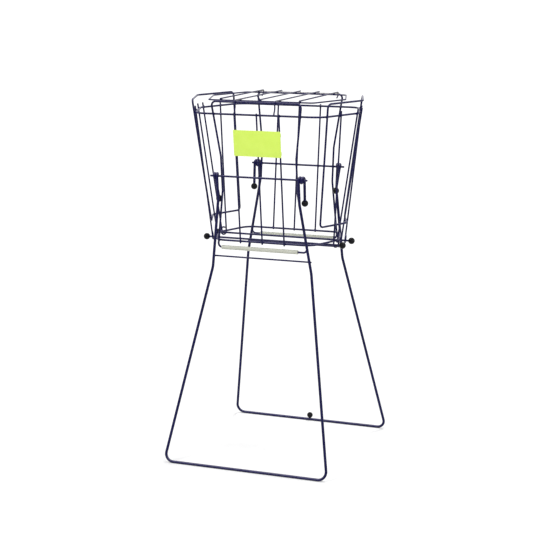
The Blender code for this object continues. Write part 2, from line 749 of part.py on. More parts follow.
def build():
    clear_scene()
    basket = make_pivot("basket_middle", Vector((0, 0, 0)))
    pivot = pivot_place()
    front_leg = make_pivot("front_leg_pivot", pivot)
    rear_leg = make_pivot("rear_leg_pivot", Vector((0, -pivot.y, pivot.z)))
    lid = make_pivot("lid_hinge", Vector((0, loop_bar_y(), LOOP_TOP_Z)))
    sleeve_y = wall_y(LOOP_LOW_Z) + LOOP_OFFSET
    make_rings(basket)
    make_loops(basket)
    make_uprights(basket)
    make_sign(basket)
    make_leg("front", list, basket, front_leg)
    make_leg("rear", to_rear, basket, rear_leg)
    make_grip(rear_leg)
    for name, sign in (("front", -1), ("rear", 1)):
        y = sign * FLOOR_ROD_SPACING / 2
        rod = make_pivot(name + "_floor_rod_axis", Vector((0, y, floor_rod_z())))
        make_floor_rod(name + "_floor_rod", y, rod)
        bar = make_pivot(name + "_sleeve_axis", Vector((0, sign * sleeve_y, LOOP_LOW_Z)))
        make_sleeve(name + "_sleeve", -sign, bar)
    make_lid(lid)


build()
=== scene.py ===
import json
import math

import bmesh
import bpy
from mathutils import Matrix, Vector

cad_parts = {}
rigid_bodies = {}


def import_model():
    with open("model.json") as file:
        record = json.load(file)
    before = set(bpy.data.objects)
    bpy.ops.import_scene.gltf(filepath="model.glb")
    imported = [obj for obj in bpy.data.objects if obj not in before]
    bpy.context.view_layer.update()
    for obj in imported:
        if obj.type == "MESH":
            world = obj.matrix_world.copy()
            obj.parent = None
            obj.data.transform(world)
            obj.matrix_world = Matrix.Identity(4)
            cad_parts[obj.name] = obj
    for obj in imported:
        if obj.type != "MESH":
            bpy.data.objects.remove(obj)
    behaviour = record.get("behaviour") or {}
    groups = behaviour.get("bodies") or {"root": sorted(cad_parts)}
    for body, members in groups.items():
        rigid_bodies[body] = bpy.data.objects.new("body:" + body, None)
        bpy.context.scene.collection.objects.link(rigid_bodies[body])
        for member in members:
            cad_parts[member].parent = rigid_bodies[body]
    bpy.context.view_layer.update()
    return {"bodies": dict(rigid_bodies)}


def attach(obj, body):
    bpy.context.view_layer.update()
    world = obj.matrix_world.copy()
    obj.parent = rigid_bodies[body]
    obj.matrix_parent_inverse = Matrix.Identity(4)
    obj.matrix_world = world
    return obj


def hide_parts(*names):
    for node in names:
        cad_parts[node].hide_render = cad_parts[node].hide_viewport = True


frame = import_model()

# Wire ball hopper in its finish: fine round wires with their welds and cut ends, moulded
# knobs, extruded roller sleeves and a clipped plate, in place of the faceted solids.
# Metres, +Z up, front -Y, right +X, floor z = 0.

gap = 0.0003             # between pieces that touch
run = 0.0005             # round what turns
bendSteps = 14           # points in a bend
coilSteps = 60           # points in a full turn
wireSides = 20
crease = {"wire": 50, "turned": 35, "plate": 40}    # degrees past which an edge stays crisp
lidBarSpacing = 0.0487   # the lid's bars, which also rub on the loops
xAxis = Vector((1, 0, 0))
zAxis = Vector((0, 0, 1))
root = bpy.context.scene.collection


# nodes

def toLinear(hexColour):
    channels = []
    for start in (0, 2, 4):
        value = int(hexColour[start:start + 2], 16) / 255
        channels.append(value / 12.92 if value <= 0.04045 else ((value + 0.055) / 1.055) ** 2.4)
    return (*channels, 1.0)


def perMetre(millimetres):
    return 1000.0 / millimetres       # noise scale for a feature of that size


def setInputs(tree, node, inputs):
    # an input takes a plain value, a socket, or the first live output of a node
    for name, value in inputs.items():
        named = [socket for socket in node.inputs if socket.enabled and socket.name == name]
        target = named[0] if named else node.inputs[name]
        if isinstance(value, bpy.types.Node):
            value = [output for output in value.outputs if output.enabled][0]
        if isinstance(value, bpy.types.NodeSocket):
            tree.links.new(value, target)
        else:
            target.default_value = value


def addNode(tree, kind, inputs=None, **settings):
    node = tree.nodes.new(kind)
    for name, value in settings.items():
        setattr(node, name, value)
    setInputs(tree, node, inputs or {})
    return node


# finishes

noiseSpan = {"From Min": 0.3, "From Max": 0.7}       # where a noise's values mostly lie


def newFinish(name, look):
    # a material with the noises of its look, each given as size in mm, detail and roughness
    material = bpy.data.materials.new(name)
    material.use_nodes = True
    tree = material.node_tree
    place = addNode(tree, "ShaderNodeTexCoord").outputs["Object"]
    noise = {}
    for pattern, (millimetres, detail, roughness) in look["noises"].items():
        noise[pattern] = addNode(tree, "ShaderNodeTexNoise", {
            "Vector": place, "Scale": perMetre(millimetres), "Detail": detail,
            "Roughness": roughness})
    return material, tree, place, noise


def fadeInto(tree, pattern, first, second, span=noiseSpan):
    # one colour fades into another as the pattern rises through the span
    share = addNode(tree, "ShaderNodeMapRange", span | {"Value": pattern})
    return addNode(tree, "ShaderNodeMix", {"Factor": share, "A": first, "B": toLinear(second)},
                   data_type="RGBA")


def setSurface(tree, look, colour, gloss, relief):
    # one pattern drives the roughness and another the relief, and the rest are plain values
    rough = addNode(tree, "ShaderNodeMapRange", noiseSpan | {
        "Value": gloss, "To Min": look["smooth"], "To Max": look["rough"]})
    bump = addNode(tree, "ShaderNodeBump", {"Strength": look["bump"], "Height": relief,
                                            "Distance": look["bumpDepth"]})
    setInputs(tree, tree.nodes["Principled BSDF"], look["shader"] | {
        "Base Color": colour, "Roughness": rough, "Normal": bump})
    return rough


# the dust colour, with its cover, thinnest share, start and ramp, is a pale lavender film on the
# upper sides: partly settled dust, partly a painted highlight
enamel = {"deep": "08083A", "clear": "0E0E46", "fleck": "2A2A58", "dustAndHighlight": "A5A0C4",
          "steel": "8C8A88",
          "noises": {"drift": (60, 3.0, 0.5), "fleck": (5, 4.0, 0.5), "dustAndHighlight": (9, 4.0, 0.6),
                     "rub": (1.6, 4.0, 0.7), "orangePeel": (2.4, 1.5, 0.5)},
          "fleckSpan": {"From Min": 0.45, "From Max": 0.75, "To Max": 0.10},
          "dustAndHighlightCover": 0.34, "dustAndHighlightThinnest": 0.4, "dustAndHighlightFrom": 0.30, "dustAndHighlightRamp": 0.40,
          "rubGrain": {"To Min": 0.2, "To Max": 1.3}, "rubDulls": 0.16,
          "bareSpan": {"From Min": 0.42, "From Max": 0.62},
          "smooth": 0.24, "rough": 0.33, "bump": 0.30, "bumpDepth": 0.00006,
          "shader": {"Specular IOR Level": 0.15}}


def glossPowderCoat():
    # powder-coated steel wire: a dark ink-blue gloss with a fine orange peel that breaks up
    # the highlights, a pale film on the upper sides that is partly court dust and partly a
    # painted highlight, dulled by handling, and steel shining through where wires rub
    material, tree, place, noise = newFinish("glossPowderCoat", enamel)
    colour = fadeInto(tree, noise["drift"], toLinear(enamel["deep"]), enamel["clear"])
    colour = fadeInto(tree, noise["fleck"], colour, enamel["fleck"], enamel["fleckSpan"])
    # the upper sides fade toward the pale lavender film, partly dust and partly a painted highlight
    upperSideDustAndHighlight = addNode(tree, "ShaderNodeAttribute", attribute_name="upperSideDustAndHighlight").outputs["Fac"]
    dustAndHighlightPatch = addNode(tree, "ShaderNodeMapRange", noiseSpan | {
        "Value": noise["dustAndHighlight"], "To Min": enamel["dustAndHighlightThinnest"] * enamel["dustAndHighlightCover"],
        "To Max": enamel["dustAndHighlightCover"]})
    dustAndHighlightFilm = addNode(tree, "ShaderNodeMath", {0: upperSideDustAndHighlight, 1: dustAndHighlightPatch}, operation="MULTIPLY")
    colour = addNode(tree, "ShaderNodeMix", {
        "Factor": dustAndHighlightFilm, "A": colour, "B": toLinear(enamel["dustAndHighlight"])}, data_type="RGBA")
    rubbed = addNode(tree, "ShaderNodeAttribute", attribute_name="rubbed").outputs["Fac"]
    ragged = addNode(tree, "ShaderNodeMapRange",
                     noiseSpan | enamel["rubGrain"] | {"Value": noise["rub"]})
    rub = addNode(tree, "ShaderNodeMath", {0: rubbed, 1: ragged}, operation="MULTIPLY")
    bare = addNode(tree, "ShaderNodeMapRange", enamel["bareSpan"] | {"Value": rub})
    colour = addNode(tree, "ShaderNodeMix", {
        "Factor": bare, "A": colour, "B": toLinear(enamel["steel"])}, data_type="RGBA")
    rough = setSurface(tree, enamel, colour, noise["drift"], noise["orangePeel"])
    duller = addNode(tree, "ShaderNodeMath", {0: rubbed, 1: enamel["rubDulls"], 2: rough},
                     operation="MULTIPLY_ADD")
    setInputs(tree, tree.nodes["Principled BSDF"], {"Metallic": bare, "Roughness": duller})
    return material


knobLook = {"black": "040406", "worn": "0A0A12",
            "noises": {"smear": (7, 3.0, 0.6), "skin": (1.8, 2.0, 0.5)},
            "smooth": 0.14, "rough": 0.30, "bump": 0.12, "bumpDepth": 0.00005,
            "shader": {"Specular IOR Level": 0.14}}


def glossBlackPlastic():
    # moulded ABS ball: a deep black with a hard small highlight and faint finger smears
    material, tree, place, noise = newFinish("glossBlackPlastic", knobLook)
    colour = fadeInto(tree, noise["smear"], toLinear(knobLook["black"]), knobLook["worn"])
    setSurface(tree, knobLook, colour, noise["smear"], noise["skin"])
    return material


sleeveLook = {"pale": "C8CABD", "shade": "BABCAF", "scuff": "8A8C86",
              "noises": {"streak": (1.4, 2.0, 0.5), "scuff": (6, 5.0, 0.65)},
              "stretch": 0.03, "scuffSpan": {"From Min": 0.60, "From Max": 0.78, "To Max": 0.45},
              "smooth": 0.38, "rough": 0.52, "bump": 0.25, "bumpDepth": 0.00005,
              "shader": {"Subsurface Weight": 0.08, "Subsurface Scale": 1.0,
                         "Subsurface Radius": (0.004, 0.004, 0.003)}}


def extrudedGreyVinyl():
    # extruded vinyl tube: a satin pale grey with long draw lines along it, wider apart than
    # real ones so that they show, and a few scuffs from use
    material, tree, place, noise = newFinish("extrudedGreyVinyl", sleeveLook)
    drawn = addNode(tree, "ShaderNodeMapping", {"Vector": place,
                                                "Scale": (sleeveLook["stretch"], 1, 1)})
    setInputs(tree, noise["streak"], {"Vector": drawn})
    colour = fadeInto(tree, noise["streak"], toLinear(sleeveLook["pale"]), sleeveLook["shade"])
    colour = fadeInto(tree, noise["scuff"], colour, sleeveLook["scuff"], sleeveLook["scuffSpan"])
    setSurface(tree, sleeveLook, colour, noise["streak"], noise["streak"])
    return material


plateLook = {"lime": "DAF864", "cast": "D4F35A", "pale": "E0FA7C",
             "noises": {"flow": (28, 2.0, 0.5), "grain": (0.9, 3.0, 0.6)},
             "grainSpan": {"From Min": 0.5, "From Max": 0.75, "To Max": 0.25},
             "smooth": 0.36, "rough": 0.48, "bump": 0.35, "bumpDepth": 0.00006,
             "shader": {"Subsurface Weight": 0.06, "Subsurface Scale": 1.0,
                        "Subsurface Radius": (0.003, 0.004, 0.001)}}


def mouldedLimePlastic():
    # moulded polypropylene plate: a pale lime satin, slightly uneven where the melt flowed,
    # with the spark grain of the mould, coarser than the real one so that it shows
    material, tree, place, noise = newFinish("mouldedLimePlastic", plateLook)
    colour = fadeInto(tree, noise["flow"], toLinear(plateLook["cast"]), plateLook["lime"])
    colour = fadeInto(tree, noise["grain"], colour, plateLook["pale"], plateLook["grainSpan"])
    setSurface(tree, plateLook, colour, noise["grain"], noise["grain"])
    return material


coat = glossPowderCoat()
blackPlastic = glossBlackPlastic()
greyVinyl = extrudedGreyVinyl()
limePlastic = mouldedLimePlastic()
print("finishes made")


# wire centre lines

longestBend = 0.49       # most that a bend takes of the straight run beside it


def roundCorner(before, corner, after, radius):
    into = (before - corner).normalized()
    out = (after - corner).normalized()
    half = into.angle(out) / 2
    reach = min(radius / math.tan(half), (before - corner).length * longestBend,
                (after - corner).length * longestBend)
    radius = reach * math.tan(half)
    middle = corner + (into + out).normalized() * (radius / math.sin(half))
    start = corner + into * reach - middle
    stop = corner + out * reach - middle
    sweep = start.angle(stop)
    side = start.cross(stop).normalized().cross(start)
    return [middle + start * math.cos(sweep * step / bendSteps)
            + side * math.sin(sweep * step / bendSteps) for step in range(bendSteps + 1)]


def bentPath(corners, radii, closed=False):
    points = []
    for index, corner in enumerate(corners):
        if radii[index] > 0 and (closed or 0 < index < len(corners) - 1):
            after = corners[(index + 1) % len(corners)]
            points.extend(roundCorner(corners[index - 1], corner, after, radii[index]))
        else:
            points.append(corner)
    return points


def toRear(points):
    return [Vector((point.x, -point.y, point.z)) for point in points]


def toLeft(points):
    return [Vector((-point.x, point.y, point.z)) for point in points]


def bothHalves(points):
    return toLeft(reversed(points)) + list(points)


bothEnds = (("front", list), ("rear", toRear))       # what is drawn at the front right is
bothSides = (("right", list), ("left", toLeft))      # mirrored to the rear and the left


# swept wires and weld beads, made with Geometry Nodes

def newTree(name, sockets):
    tree = bpy.data.node_groups.new(name, "GeometryNodeTree")
    for label, kind in ({"Geometry": "Geometry"} | sockets).items():
        tree.interface.new_socket(label, in_out="INPUT", socket_type="NodeSocket" + kind)
    tree.interface.new_socket("Geometry", in_out="OUTPUT", socket_type="NodeSocketGeometry")
    return tree, addNode(tree, "NodeGroupInput").outputs


def endTree(tree, given, shape):
    smooth = addNode(tree, "GeometryNodeSetShadeSmooth", {"Geometry": shape})
    real = addNode(tree, "GeometryNodeRealizeInstances", {"Geometry": smooth})
    done = addNode(tree, "GeometryNodeSetMaterial", {"Geometry": real, "Material": given["Finish"]})
    addNode(tree, "NodeGroupOutput", {"Geometry": done})
    return tree


def makeSweepTree():
    tree, given = newTree("sweepWire", {"Wire Radius": "Float", "Sides": "Int",
                                        "Finish": "Material"})
    profile = addNode(tree, "GeometryNodeCurvePrimitiveCircle",
                      {"Resolution": given["Sides"], "Radius": given["Wire Radius"]})
    taper = addNode(tree, "GeometryNodeInputRadius")
    swept = addNode(tree, "GeometryNodeCurveToMesh",
                    {"Curve": given["Geometry"], "Profile Curve": profile, "Scale": taper,
                     "Fill Caps": True})
    return endTree(tree, given, swept)


def makeWeldTree():
    tree, given = newTree("weldBeads", {"Bead Radius": "Float", "Flatness": "Float",
                                        "Smallest": "Float", "Largest": "Float",
                                        "Lump": "Float", "Lump Size": "Float",
                                        "Seed": "Int", "Finish": "Material"})
    ball = addNode(tree, "GeometryNodeMeshIcoSphere", {"Radius": given["Bead Radius"],
                                                       "Subdivisions": 3})
    flat = addNode(tree, "ShaderNodeCombineXYZ", {"X": 1.0, "Y": 1.0, "Z": given["Flatness"]})
    jitter = addNode(tree, "FunctionNodeRandomValue",
                     {"Min": given["Smallest"], "Max": given["Largest"], "Seed": given["Seed"]},
                     data_type="FLOAT")
    size = addNode(tree, "ShaderNodeVectorMath", {"Vector": flat, "Scale": jitter},
                   operation="SCALE")
    turn = addNode(tree, "GeometryNodeInputNamedAttribute", {"Name": "beadTurn"},
                   data_type="FLOAT_VECTOR")
    beads = addNode(tree, "GeometryNodeInstanceOnPoints",
                    {"Points": given["Geometry"], "Instance": ball, "Rotation": turn,
                     "Scale": size})
    real = addNode(tree, "GeometryNodeRealizeInstances", {"Geometry": beads})
    density = addNode(tree, "ShaderNodeMath", {0: 1.0, 1: given["Lump Size"]},
                      operation="DIVIDE")
    rough = addNode(tree, "ShaderNodeTexNoise", {
        "Vector": addNode(tree, "GeometryNodeInputPosition"), "Scale": density, "Detail": 1.0})
    centred = addNode(tree, "ShaderNodeMath", {0: rough, 1: 0.5}, operation="SUBTRACT")
    push = addNode(tree, "ShaderNodeMath", {0: centred, 1: given["Lump"]}, operation="MULTIPLY")
    shift = addNode(tree, "ShaderNodeVectorMath", {
        "Vector": addNode(tree, "GeometryNodeInputNormal"), "Scale": push}, operation="SCALE")
    lumpy = addNode(tree, "GeometryNodeSetPosition", {"Geometry": real, "Offset": shift})
    return endTree(tree, given, lumpy)


def applyTree(item, tree, values):
    # a live Geometry Nodes modifier becomes a plain mesh object of the same name
    modifier = item.modifiers.new(tree.name, "NODES")
    modifier.node_group = tree
    for socket in tree.interface.items_tree:
        if socket.in_out == "INPUT" and socket.name in values:
            modifier[socket.identifier] = values[socket.name]
    root.objects.link(item)
    bpy.context.view_layer.update()
    solid = item.evaluated_get(bpy.context.evaluated_depsgraph_get())
    mesh = bpy.data.meshes.new_from_object(solid)
    name = item.name
    bpy.data.objects.remove(item, do_unlink=True)
    mesh.name = name
    return bpy.data.objects.new(name, mesh)


sweepTree = makeSweepTree()
weldTree = makeWeldTree()


def finishPiece(item, body, node=None):
    root.objects.link(item)
    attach(item, body)
    if node:
        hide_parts(node)


# what rubs the coat: how far round the contact, and how hard, from 0 to 1
wear = {"latch": (0.008, 0.9), "hook": (0.009, 1.0), "lidBar": (0.007, 0.9),
        "tab": (0.012, 0.45), "rodEye": (0.006, 0.9), "rod": (0.009, 0.9),
        "coil": (0.010, 0.55), "axle": (0.011, 0.8), "foot": (0.030, 0.56)}


def markCoat(mesh, rubs):
    # the upper-side mark is 1 where the coat faces up as the hopper stands, for a pale film that
    # is partly settled dust and partly a painted highlight; rubbed falls from the strength of a
    # wear to 0 within its reach of each place of contact
    for name in ("rubbed", "upperSideDustAndHighlight"):
        mesh.attributes.new(name, "FLOAT", "POINT")
    contacts = [(spot, *wear[kind]) for kind, spots in rubs.items() for spot in spots]
    for vertex, rubbed, upperDustAndHighlight in zip(mesh.vertices, mesh.attributes["rubbed"].data,
                                     mesh.attributes["upperSideDustAndHighlight"].data):
        amount = 0.0
        for spot, reach, strength in contacts:
            away = (vertex.co - spot).length / reach
            amount = max(amount, strength * max(0.0, 1.0 - away * away))
        rubbed.value = amount
        # facing up gives the pale film that is partly dust and partly a painted highlight
        facing = (vertex.normal.z - enamel["dustAndHighlightFrom"]) / enamel["dustAndHighlightRamp"]
        upperDustAndHighlight.value = max(0.0, min(1.0, facing))


cutEnd = [(0.0, 0.66), (0.10, 0.82), (0.28, 0.94), (0.55, 1.0)]   # along and out, in wire radii


def withCutEnds(points, radius):
    # the sheared and painted ends of a wire are slightly rounded
    rows = [(point, 1.0) for point in points]
    for end in range(2):
        first = rows[0][0]
        toward = (rows[1][0] - first).normalized()
        rows = [(first + toward * along * radius, out) for along, out in cutEnd] + rows[1:]
        rows.reverse()
    return rows


def sweepWire(name, points, diameter, body, node, closed=False, rubs={}):
    curve = bpy.data.curves.new(name, "CURVE")
    curve.dimensions = "3D"
    spline = curve.splines.new("POLY")
    spline.use_cyclic_u = closed
    rows = [(point, 1.0) for point in points] if closed else withCutEnds(points, diameter / 2)
    spline.points.add(len(rows) - 1)
    for target, (point, taper) in zip(spline.points, rows):
        target.co = (*point, 1.0)
        target.radius = taper
    wire = applyTree(bpy.data.objects.new(name, curve), sweepTree,
                     {"Wire Radius": diameter / 2, "Sides": wireSides, "Finish": coat})
    wire.data.set_sharp_from_angle(angle=math.radians(crease["wire"]))
    markCoat(wire.data, rubs)
    finishPiece(wire, body, node)


weldSpots = {body: [] for body in frame["bodies"]}


def weld(body, ends, along=None, share=0.5):
    # a resistance weld squeezed flat between two crossing wires, whose centre lines the ends
    # lie on; along is the way that one of the wires runs, level unless it is given
    across = ends[1] - ends[0]
    normal = across.normalized()
    along = across.cross(zAxis) if along is None else along
    side = along.normalized().cross(normal).normalized()
    rotation = Matrix((side.cross(normal), side, normal)).transposed().to_euler()
    weldSpots[body].append((ends[0].lerp(ends[1], share), rotation))


# basket

basket = {"ringWire": 0.0048, "loopWire": 0.0048, "pivotWire": 0.0048, "uprightWire": 0.0040,
          "baseZ": 0.524, "rimZ": 0.825,
          "rimFront": 0.310, "rimWidth": 0.402, "rimDepth": 0.270, "rimCorner": 0.040,
          "baseFront": 0.242, "baseWidth": 0.308, "baseDepth": 0.202, "baseCorner": 0.034,
          "sideBend": 0.020, "uprightSpacing": 0.055, "uprightStub": 0.0045,
          "sideStub": 0.011, "sideUprightY": 0.0725, "pointUprightY": 0.013}
ringWire = basket["ringWire"]
loopWire = basket["loopWire"]
uprightWire = basket["uprightWire"]
baseZ = basket["baseZ"]
rimZ = basket["rimZ"]
wallSlope = (basket["rimDepth"] - basket["baseDepth"]) / 2 / (rimZ - baseZ)
wallCos = math.cos(math.atan(wallSlope))
loopSeat = ringWire / 2 + gap + loopWire / 2          # middle of a ring to middle of a loop
uprightSeat = ringWire / 2 + gap + uprightWire / 2
loopOut = loopSeat / wallCos                          # the same, level across a leaning wall
uprightOut = uprightSeat / wallCos
pivotOut = (ringWire / 2 + gap + max(loopWire, uprightWire) + gap
            + basket["pivotWire"] / 2) / wallCos


def between(low, high, z):
    # a measure at a height, from its values at the base ring and the rim ring
    return low + (high - low) * (z - baseZ) / (rimZ - baseZ)


def wallY(z):
    return between(basket["baseDepth"] / 2, basket["rimDepth"] / 2, z)


def frontPoint(x, z, out):
    # on the leaning front wall, moved out level
    return Vector((x, -wallY(z) - out, z))


def sideSlope(z):
    return between(basket["baseWidth"] - basket["baseFront"],
                   basket["rimWidth"] - basket["rimFront"], z) / 2 / wallY(z)


def sideX(y, z):
    return between(basket["baseWidth"], basket["rimWidth"], z) / 2 - sideSlope(z) * abs(y)


def sidePoint(y, z, out, roundedCorner=False):
    # on the right side face, moved out square to it, also where a ring bends at its corner
    slope = sideSlope(z)
    normal = Vector((1.0, math.copysign(slope, y) if y else 0.0, 0.0)).normalized()
    x = sideX(y, z)
    if roundedCorner:
        radius = between(basket["baseCorner"], basket["rimCorner"], z)
        lean = math.atan(slope)
        start = wallY(z) - radius * math.tan((math.pi / 2 - lean) / 2) * math.cos(lean)
        if abs(y) > start:
            rise = min((abs(y) - wallY(z) + radius) / radius, 1.0)
            flat = math.sqrt(1.0 - rise * rise)
            normal = Vector((flat, math.copysign(rise, y), 0.0))
            x = sideX(start, z) - radius * math.cos(lean) + radius * flat
    return Vector((x, y, z)) + normal * out


def ringCorners(front, width, depth, z):
    return [Vector((x, y, z)) for x, y in
            ((-front / 2, -depth / 2), (front / 2, -depth / 2), (width / 2, 0),
             (front / 2, depth / 2), (-front / 2, depth / 2), (-width / 2, 0))]


for ring, z in (("rim", rimZ), ("base", baseZ)):
    corners = ringCorners(basket[ring + "Front"], basket[ring + "Width"],
                          basket[ring + "Depth"], z)
    radii = [basket[ring + "Corner"], basket[ring + "Corner"], basket["sideBend"]] * 2
    sweepWire(ring + "Ring", bentPath(corners, radii, True), ringWire, "basket",
              ring + "_ring", closed=True)


# loops on the four faces

loops = {"rise": 0.0295, "drop": 0.0165, "top": 0.222, "waist": 0.187, "bottom": 0.225,
         "waistAbove": 0.047, "waistBelow": 0.035, "topBend": 0.010, "waistBend": 0.030,
         "bottomBend": 0.009, "sideYTop": 0.1165, "sideYLow": 0.0860, "sideLow": 0.042,
         "sidePeak": 0.0016, "sideLoopBend": 0.010, "pivotRise": 0.156}
loopTopZ = rimZ + loops["rise"]
loopLowZ = baseZ - loops["drop"]
pivotZ = baseZ + loops["pivotRise"]
waistX = loops["waist"] / 2
loopBarY = wallY(loopTopZ) + loopOut
sleeveBarY = wallY(loopLowZ) + loopOut


def hourglassLoop():
    half = [(loops["bottom"] / 2, loopLowZ, loops["bottomBend"]),
            (waistX, pivotZ - loops["waistBelow"], loops["waistBend"]),
            (waistX, pivotZ + loops["waistAbove"], loops["waistBend"]),
            (loops["top"] / 2, loopTopZ, loops["topBend"])]
    corners = [frontPoint(x, z, loopOut) for x, z, radius in half]
    corners += [frontPoint(-x, z, loopOut) for x, z, radius in reversed(half)]
    radii = [radius for x, z, radius in half]
    return bentPath(corners, radii + radii[::-1], True)


def hourglassX(z):
    # half width of the hourglass loop at a height
    near = pivotZ - loops["waistBelow"]
    far = loopLowZ
    wide = loops["bottom"] / 2
    if z > pivotZ:
        near = pivotZ + loops["waistAbove"]
        far = loopTopZ
        wide = loops["top"] / 2
    return waistX + (wide - waistX) * max(0.0, (z - near) / (far - near))


def sideLoopBar():
    lowZ = baseZ + loops["sideLow"]
    outer = ringWire / 2 + gap + uprightWire + gap + loopWire / 2
    reach = sideX(0.0, lowZ) + outer / math.cos(math.atan(sideSlope(lowZ)))
    return (sidePoint(-loops["sideYLow"], lowZ, loopSeat),
            Vector((reach + loops["sidePeak"], 0, lowZ)))


def foldedLoop():
    # leans against the rim ring and folds along the side point
    low, lowPoint = sideLoopBar()
    atRim = sidePoint(-loops["sideYTop"], rimZ, loopSeat, True)
    top = low + (atRim - low) * ((loopTopZ - low.z) / (rimZ - low.z))
    topPoint = Vector((top.x - sideSlope(loopTopZ) * top.y, 0, loopTopZ))
    radii = [loops["sideLoopBend"], loops["sideLoopBend"], basket["sideBend"]] * 2
    return bentPath([low, top, topPoint, *toRear([top, low]), lowPoint], radii, True)


frontLoop = hourglassLoop()
rightLoop = foldedLoop()
hookSpots = [Vector((column * lidBarSpacing, loopBarY, loopTopZ + loopWire / 2))
             for column in (-2, 2)]
latchSpots = [Vector((column * lidBarSpacing, -loopBarY, loopTopZ + loopWire / 2))
              for column in (-1, 1)]
for name, wire, node, rubs in (("frontLoop", frontLoop, "front_loop", {"latch": latchSpots}),
                               ("rearLoop", toRear(frontLoop), "rear_loop", {"hook": hookSpots}),
                               ("rightLoop", rightLoop, "right_loop", {}),
                               ("leftLoop", toLeft(rightLoop), "left_loop", {})):
    sweepWire(name, wire, loopWire, "basket", node, closed=True, rubs=rubs)


# uprights

eyes = {"bore": 0.0140, "rodSpacing": 0.066, "rodWire": 0.0048, "rodBelowRing": 0.0020}
floorRodZ = baseZ - ringWire / 2 - eyes["rodBelowRing"] - eyes["rodWire"] / 2


def eyedUpright():
    # lies on the rim and on the side loop's bottom bar, and curls below into an eye
    radius = (eyes["bore"] + uprightWire) / 2
    top = sidePoint(-basket["sideUprightY"], rimZ + basket["sideStub"], uprightSeat)
    barEnd, barFold = sideLoopBar()
    along = (barFold - barEnd).normalized()
    seat = barEnd + Vector((along.y, -along.x, 0)) * (loopWire / 2 + gap + uprightWire / 2)
    upward = (top - seat - along * along.dot(top - seat)).normalized()
    fall = (floorRodZ - (eyes["rodWire"] + uprightWire) / 2 - run - seat.z) / upward.z
    shift = (-eyes["rodSpacing"] / 2 - seat.y - fall * upward.y) / along.y
    lowest = seat + along * shift + upward * fall
    centre = lowest + upward * radius
    reach = top - centre
    start = math.atan2(reach.dot(upward), reach.dot(along)) + math.acos(radius / reach.length)
    wrap = 2 * math.pi - math.acos((radius - uprightWire / 2 - gap) / (radius + uprightWire / 2))
    steps = math.ceil(coilSteps * wrap / (2 * math.pi))
    points = [top]
    for step in range(steps + 1):
        angle = start + wrap * step / steps
        points.append(centre + (along * math.cos(angle) + upward * math.sin(angle)) * radius)
    return points, lowest + upward * uprightWire / 2


for side, column in (("left", -1), ("middle", 0), ("right", 1)):
    wire = [frontPoint(column * basket["uprightSpacing"], z, uprightOut) for z in
            (baseZ - basket["uprightStub"], rimZ + basket["uprightStub"])]
    for end, flip in bothEnds:
        sweepWire(f"{end}Upright_{side}", flip(wire), uprightWire, "basket",
                  f"{end}_upright_{side}")
eyed, eyeSeat = eyedUpright()
point = [sidePoint(-basket["pointUprightY"], z, uprightSeat) for z in
         (rimZ + basket["sideStub"], baseZ - basket["uprightStub"])]
for kind, node, wire, seats in (("eyed", "upright", eyed, [eyeSeat]),
                                ("point", "point_upright", point, [])):
    for end, flip in bothEnds:
        for side, turn in bothSides:
            sweepWire(f"{side}_{kind}Upright_{end}", turn(flip(wire)), uprightWire, "basket",
                      f"{side}_{node}_{end}", rubs={"rodEye": turn(flip(seats))})
print("basket wires made")


# legs that are also the handles

legs = {"wire": 0.0066, "eyeClearance": 0.0021, "rodOverhang": 0.0060, "extraTurns": 1,
        "lockDrop": 0.056, "lockInset": 0.0208, "crossbarClearance": 0.0188,
        "crossbarOverhang": 0.0032, "crossbarWire": 0.0040, "kneeDrop": 0.0267,
        "kneeWidth": 0.2485, "footWidth": 0.4110, "footSpread": 0.4470, "upperBend": 0.040,
        "kneeBend": 0.030, "footBend": 0.019, "weldShare": 0.55,
        "coilRubOut": 0.004, "footRubs": 9, "footRubEvery": 0.02, "footRubBelow": 0.012}
knobs = {"diameter": 0.0160, "gripDiameter": 0.0150, "bore": 0.0090, "steps": 60, "rings": 34,
         "mouthRound": 0.0006, "mouthDepth": 0.9, "mouthSteps": 5,
         "seamRise": 0.00012, "seamTop": 0.015, "seamFoot": 0.035, "seamClear": 0.05,
         "studDiameter": 0.0046, "studChamfer": 0.0006, "studSteps": 32,
         "weldSink": 0.0006, "weldFlare": 0.0007, "weldShoulder": 0.0005, "weldRise": 0.0003}
eyeRadius = basket["pivotWire"] / 2 + gap + legs["wire"] / 2
legTopX = waistX + loopWire / 2 + legs["eyeClearance"] + legs["wire"] / 2
pivotPlace = frontPoint(0.0, pivotZ, pivotOut)
crossbarZ = pivotZ - max(loopTopZ - pivotZ, pivotZ - loopLowZ) - legs["crossbarClearance"]
kneeZ = crossbarZ - legs["kneeDrop"]
lockZ = pivotZ - legs["lockDrop"]
lockKnob = Vector((hourglassX(lockZ) + loopWire / 2 + gap + knobs["diameter"] / 2,
                   pivotPlace.y + legs["lockInset"], lockZ))


def legLine(z, x):
    return Vector((x, pivotPlace.y - eyeRadius / wallCos + wallSlope * (pivotZ - z), z))


def coiledEye():
    # goes round the pivot rod, from the top of the leg to the tail with the lock knob
    reach = Vector((lockKnob.y - pivotPlace.y, lockKnob.z - pivotPlace.z))
    start = math.pi + math.atan(wallSlope)
    leave = math.atan2(reach.y, reach.x) + math.acos(eyeRadius / reach.length)
    sweep = start - leave + 2 * math.pi * legs["extraTurns"]
    steps = math.ceil(coilSteps * sweep / (2 * math.pi))
    points = []
    for step in range(steps + 1):
        turned = sweep * step / steps
        x = legTopX + (legs["wire"] + gap) * turned / (2 * math.pi)
        points.append(Vector((x, pivotPlace.y + eyeRadius * math.cos(start - turned),
                              pivotPlace.z + eyeRadius * math.sin(start - turned))))
    return points


def knobSeat(centre, toward):
    # where a wire ends in a knob's blind hole
    return centre + toward.normalized() * (knobs["diameter"] / 2 - knobs["bore"] + gap)


